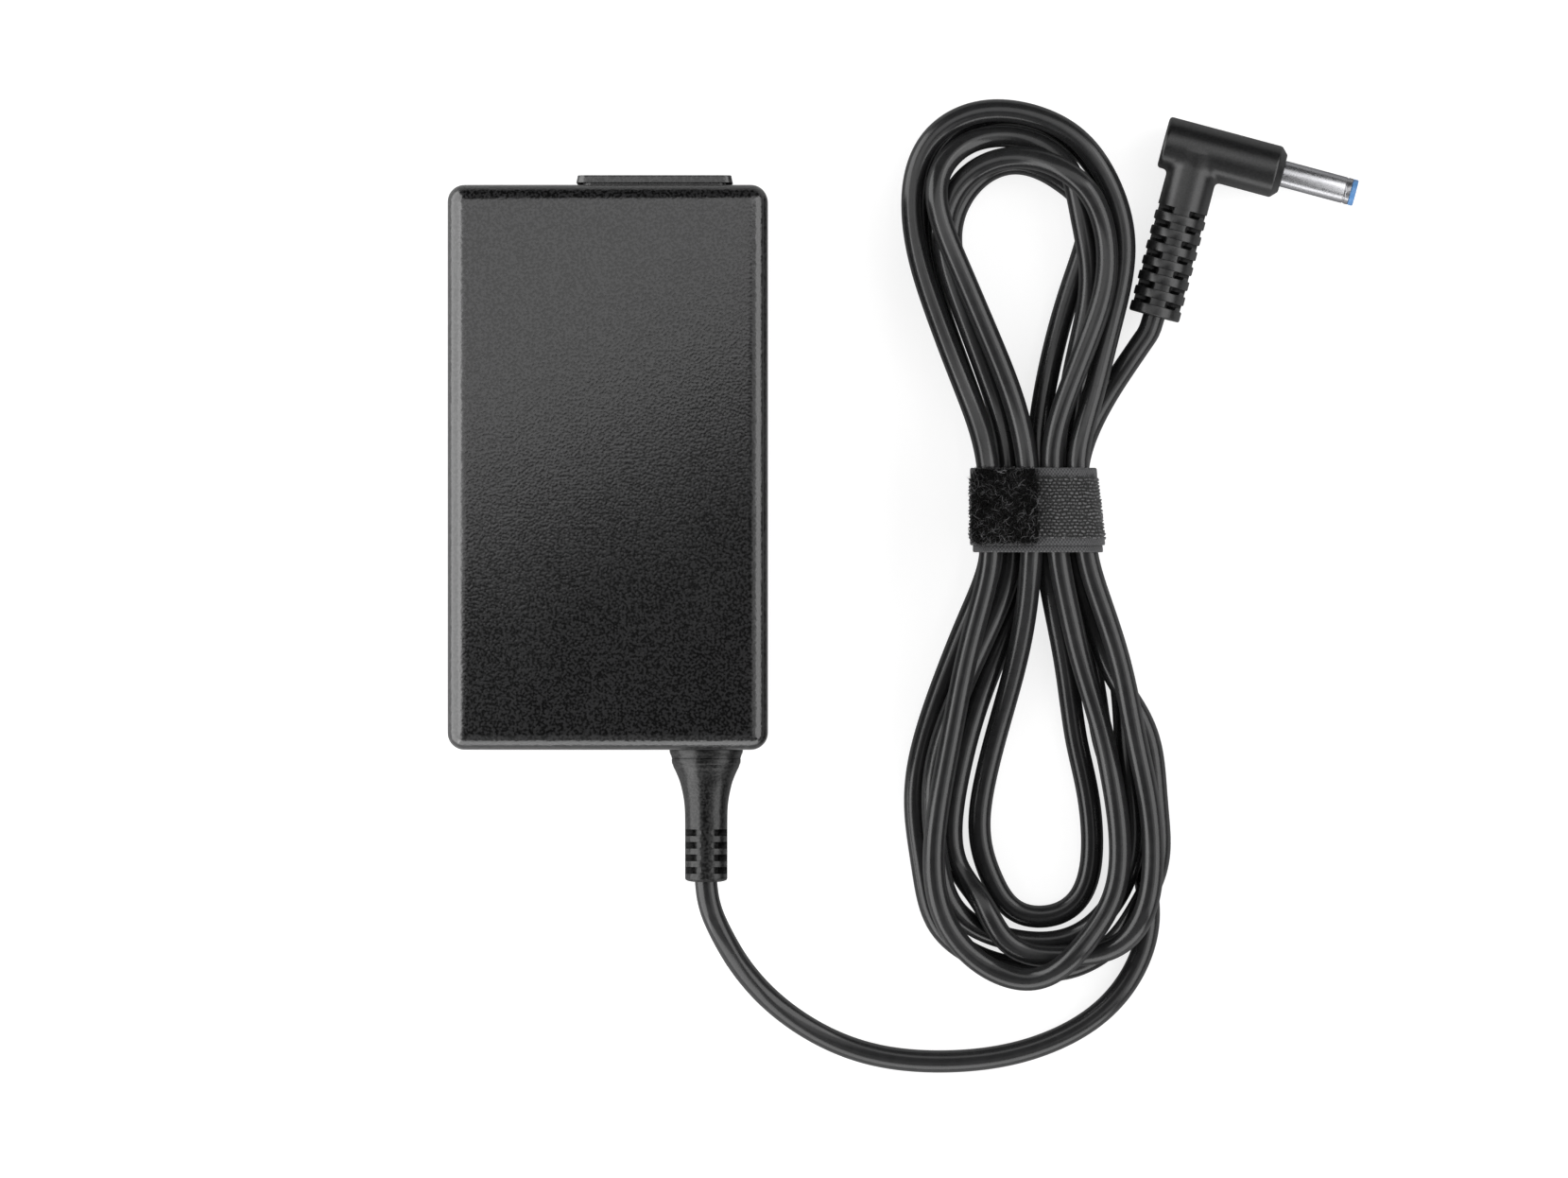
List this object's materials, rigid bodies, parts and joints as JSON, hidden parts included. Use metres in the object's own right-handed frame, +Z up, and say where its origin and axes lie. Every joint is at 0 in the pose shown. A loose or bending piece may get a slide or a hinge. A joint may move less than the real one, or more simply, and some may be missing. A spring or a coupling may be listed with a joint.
{
  "type": "laptop power adapter",
  "caption": "Mains-to-DC laptop power adapter: flat oblong brick with a three-pin inlet, slotted strain relief, and a tied hank of cord ending in a right-angled barrel plug.",
  "frame": {"origin": "on the surface that the adapter lies on, under the middle of the brick with its inlet collar", "axes": "+Y along the brick towards the mains inlet, +Z up, +X towards the side where the hank of cord lies"},
  "size_m": [0.1542, 0.1646, 0.0285],
  "materials": {
    "case_plastic": "fine textured matte black",
    "socket_plastic": "smooth matte black",
    "relief_rubber": "satin black overmould",
    "cord_sheath": "satin dark grey sheath",
    "hook_tape": "woven black hook tape",
    "loop_pile": "black brushed loop pile",
    "plug_metal": "bright nickel plate",
    "plug_insulator": "pale blue plastic",
    "pin_metal": "nickelled brass",
    "board_laminate": "green solder resist",
    "component_black": "black moulded epoxy",
    "film_yellow": "yellow film and tape",
    "ferrite": "sintered dark grey",
    "winding_copper": "enamelled copper",
    "heat_sink": "plain mill finish",
    "capacitor_sleeve": "dark blue heat-shrink sleeve",
    "insulation": "white insulation"
  },
  "bodies": {
    "adapter": {"upper_shell": "case_plastic", "lower_shell": "case_plastic", "inlet_socket": "socket_plastic", "line_pin": "pin_metal", "neutral_pin": "pin_metal", "earth_pin": "pin_metal", "line_lead": "insulation", "neutral_lead": "insulation", "earth_lead": "insulation", "circuit_board": "board_laminate", "insulating_sheet": "insulation", "heat_spreader": "heat_sink", "fuse": "component_black", "x_capacitor": "film_yellow", "choke_core": "ferrite", "choke_winding_left": "winding_copper", "choke_winding_right": "winding_copper", "bridge_rectifier": "component_black", "bulk_capacitor": "capacitor_sleeve", "transformer_core": "ferrite", "transformer_winding": "film_yellow", "switching_transistor": "component_black", "primary_heat_sink": "heat_sink", "controller_chip": "component_black", "optocoupler": "component_black", "safety_capacitor": "capacitor_sleeve", "output_rectifier": "component_black", "secondary_heat_sink": "heat_sink", "output_capacitor_left": "capacitor_sleeve", "output_capacitor_right": "capacitor_sleeve", "positive_lead": "insulation", "return_lead": "insulation", "output_relief": "relief_rubber", "cord_lead": "cord_sheath", "cord_hank": "cord_sheath", "cord_tail": "cord_sheath", "tie_band": "hook_tape", "plug_housing": "relief_rubber", "plug_barrel": "plug_metal", "plug_liner": "plug_insulator", "plug_centre_pin": "plug_metal"},
    "tab": {"tie_tab": "loop_pile"}
  },
  "joints": [
    {"name": "tie_tab_peel", "type": "hinge", "parent": "adapter", "child": "tab", "pos_m": [0.0727, -0.00795, 0.01465], "axis": [0, 1, 0], "range_deg": [0, 160]}
  ]
}
